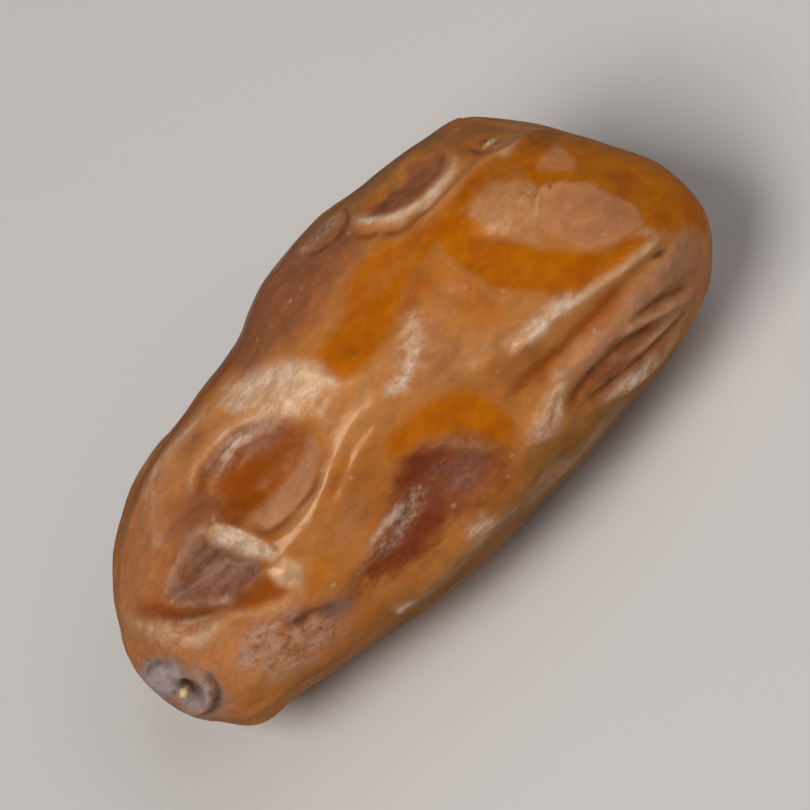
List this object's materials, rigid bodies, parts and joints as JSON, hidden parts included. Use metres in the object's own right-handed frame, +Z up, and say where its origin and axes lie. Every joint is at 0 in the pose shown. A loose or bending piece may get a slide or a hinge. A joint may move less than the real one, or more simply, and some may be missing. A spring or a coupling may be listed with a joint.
{
  "type": "deglet noor date",
  "caption": "Whole deglet noor date fruit with loose folded skin, an apex scar and a fibrous stem scar, lying on its flattened underside.",
  "frame": {"origin": "centre of the bounding box at the bottom, on the surface that the fruit lies on", "axes": "+X along the fruit from its apex to its stem end; +Z up, off the surface that it lies on; +Y to the back, away from the broad side, which leans back from the viewer"},
  "size_m": [0.0426, 0.0212, 0.0192],
  "materials": {
    "date_skin": null
  },
  "bodies": {
    "root": {"date_fruit": "date_skin"}
  },
  "joints": []
}
